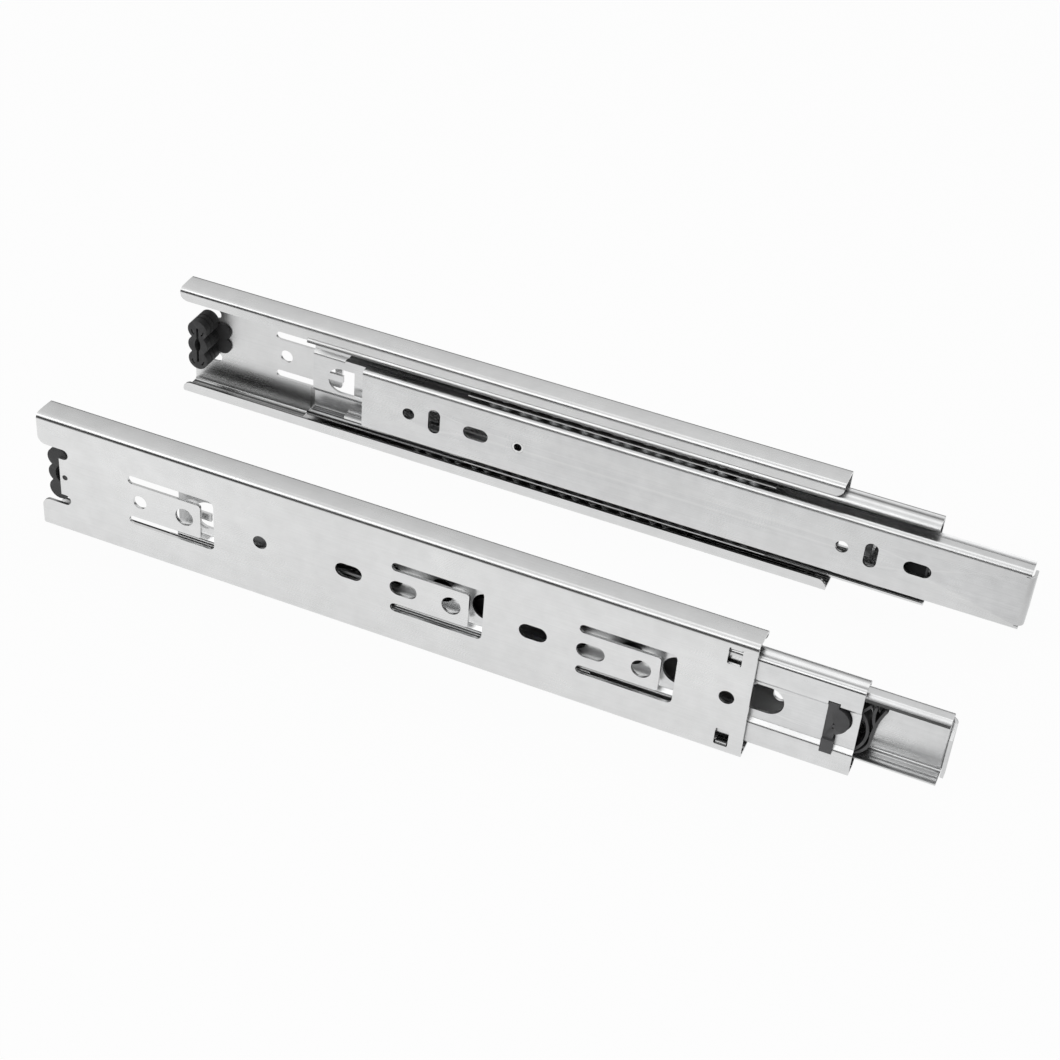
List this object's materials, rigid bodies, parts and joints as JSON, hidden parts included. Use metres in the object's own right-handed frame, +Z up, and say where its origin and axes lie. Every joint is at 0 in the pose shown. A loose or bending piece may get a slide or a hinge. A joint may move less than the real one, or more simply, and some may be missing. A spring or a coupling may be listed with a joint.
{
  "type": "full-extension ball-bearing drawer slide pair",
  "caption": "Pair of full-extension side-mount drawer slides: rolled steel cabinet, intermediate and drawer members on caged balls, shown partly open.",
  "frame": {"origin": "middle of the pair's footprint, on the surface its lower edges stand on", "axes": "+X along the slides in the direction they open, +Y from the left slide to the right slide, +Z up"},
  "size_m": [0.3168, 0.102, 0.0455],
  "materials": {
    "zinc_sheet": "bright zinc plate with faint rolling streaks",
    "cage_steel": "thin zinc-plated strip",
    "ball_steel": "polished",
    "rivet_steel": "zinc plated",
    "black_rubber": "satin",
    "grey_plastic": "moulded, satin",
    "black_plastic": "moulded, satin"
  },
  "bodies": {
    "cabinet_sides": {"left_cabinet_member": "zinc_sheet", "left_rear_bumper": "black_rubber", "right_cabinet_member": "zinc_sheet", "right_rear_bumper": "black_rubber"},
    "left_intermediate": {"left_intermediate_member": "zinc_sheet", "left_front_buffer": "grey_plastic"},
    "left_outer_cages": {"left_outer_cage_upper": "cage_steel", "left_outer_cage_lower": "cage_steel", "left_outer_balls_upper": "ball_steel", "left_outer_balls_lower": "ball_steel"},
    "left_drawer": {"left_drawer_member": "zinc_sheet", "left_lever_rivet": "rivet_steel"},
    "left_inner_cages": {"left_inner_cage_upper": "cage_steel", "left_inner_cage_lower": "cage_steel", "left_inner_balls_upper": "ball_steel", "left_inner_balls_lower": "ball_steel"},
    "left_lever": {"left_release_lever": "black_plastic"},
    "right_intermediate": {"right_intermediate_member": "zinc_sheet", "right_front_buffer": "grey_plastic"},
    "right_outer_cages": {"right_outer_cage_upper": "cage_steel", "right_outer_cage_lower": "cage_steel", "right_outer_balls_upper": "ball_steel", "right_outer_balls_lower": "ball_steel"},
    "right_drawer": {"right_drawer_member": "zinc_sheet", "right_lever_rivet": "rivet_steel"},
    "right_inner_cages": {"right_inner_cage_upper": "cage_steel", "right_inner_cage_lower": "cage_steel", "right_inner_balls_upper": "ball_steel", "right_inner_balls_lower": "ball_steel"},
    "right_lever": {"right_release_lever": "black_plastic"}
  },
  "joints": [
    {"name": "left_intermediate_slide", "type": "slide", "parent": "cabinet_sides", "child": "left_intermediate", "axis": [1, 0, 0], "range_m": [-0.0405, 0.0845]},
    {"name": "left_outer_cage_slide", "type": "slide", "parent": "cabinet_sides", "child": "left_outer_cages", "axis": [1, 0, 0], "range_m": [-0.02025, 0.04225]},
    {"name": "left_drawer_slide", "type": "slide", "parent": "left_intermediate", "child": "left_drawer", "axis": [1, 0, 0], "range_m": [-0.0185, 0.1065]},
    {"name": "left_inner_cage_slide", "type": "slide", "parent": "left_intermediate", "child": "left_inner_cages", "axis": [1, 0, 0], "range_m": [-0.00925, 0.05325]},
    {"name": "left_lever_hinge", "type": "hinge", "parent": "left_drawer", "child": "left_lever", "pos_m": [-0.02945, -0.0415, 0.02275], "axis": [0, 1, 0], "range_deg": [0, 6], "stiffness_Nm_per_rad": 0.02, "springref_deg": -8.59},
    {"name": "right_intermediate_slide", "type": "slide", "parent": "cabinet_sides", "child": "right_intermediate", "axis": [1, 0, 0], "range_m": [-0.0405, 0.0845]},
    {"name": "right_outer_cage_slide", "type": "slide", "parent": "cabinet_sides", "child": "right_outer_cages", "axis": [1, 0, 0], "range_m": [-0.02025, 0.04225]},
    {"name": "right_drawer_slide", "type": "slide", "parent": "right_intermediate", "child": "right_drawer", "axis": [1, 0, 0], "range_m": [-0.025, 0.1]},
    {"name": "right_inner_cage_slide", "type": "slide", "parent": "right_intermediate", "child": "right_inner_cages", "axis": [1, 0, 0], "range_m": [-0.0125, 0.05]},
    {"name": "right_lever_hinge", "type": "hinge", "parent": "right_drawer", "child": "right_lever", "pos_m": [-0.02295, 0.0415, 0.02275], "axis": [0, -1, 0], "range_deg": [0, 6], "stiffness_Nm_per_rad": 0.02, "springref_deg": -8.59}
  ],
  "couplings": [
    {"joint": "left_outer_cage_slide", "follows": "left_intermediate_slide", "ratio": 0.5},
    {"joint": "left_inner_cage_slide", "follows": "left_drawer_slide", "ratio": 0.5},
    {"joint": "right_outer_cage_slide", "follows": "right_intermediate_slide", "ratio": 0.5},
    {"joint": "right_inner_cage_slide", "follows": "right_drawer_slide", "ratio": 0.5}
  ]
}
